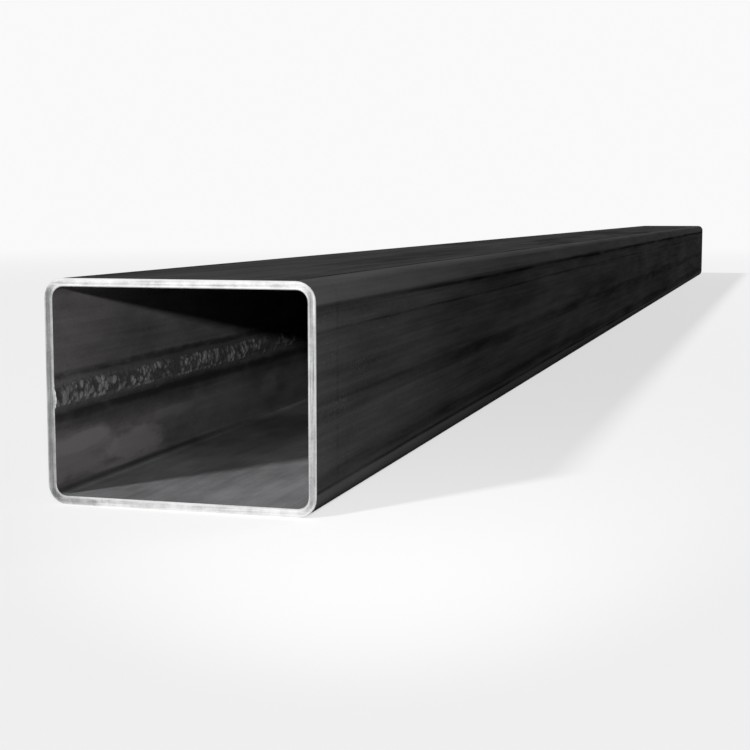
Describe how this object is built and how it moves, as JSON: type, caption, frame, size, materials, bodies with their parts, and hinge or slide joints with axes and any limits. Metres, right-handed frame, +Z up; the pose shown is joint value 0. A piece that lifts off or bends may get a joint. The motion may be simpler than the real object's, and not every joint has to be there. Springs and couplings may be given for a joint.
{
  "type": "rectangular steel tube",
  "caption": "Straight length of seam-welded rectangular steel hollow section with rounded corners, an inside weld bead and sawn open ends, for frames and structures.",
  "frame": {"origin": "centre of the bottom face, half way along the tube", "axes": "+Y along the tube, +Z up from the face it lies on, X across the wide side; the seam is in the -X wall"},
  "size_m": [0.1, 2, 0.08],
  "materials": {
    "mill_steel": "dark, lightly oiled mill scale, bare bright steel on the sawn ends"
  },
  "bodies": {
    "root": {"rectangular_tube": "mill_steel"}
  },
  "joints": []
}
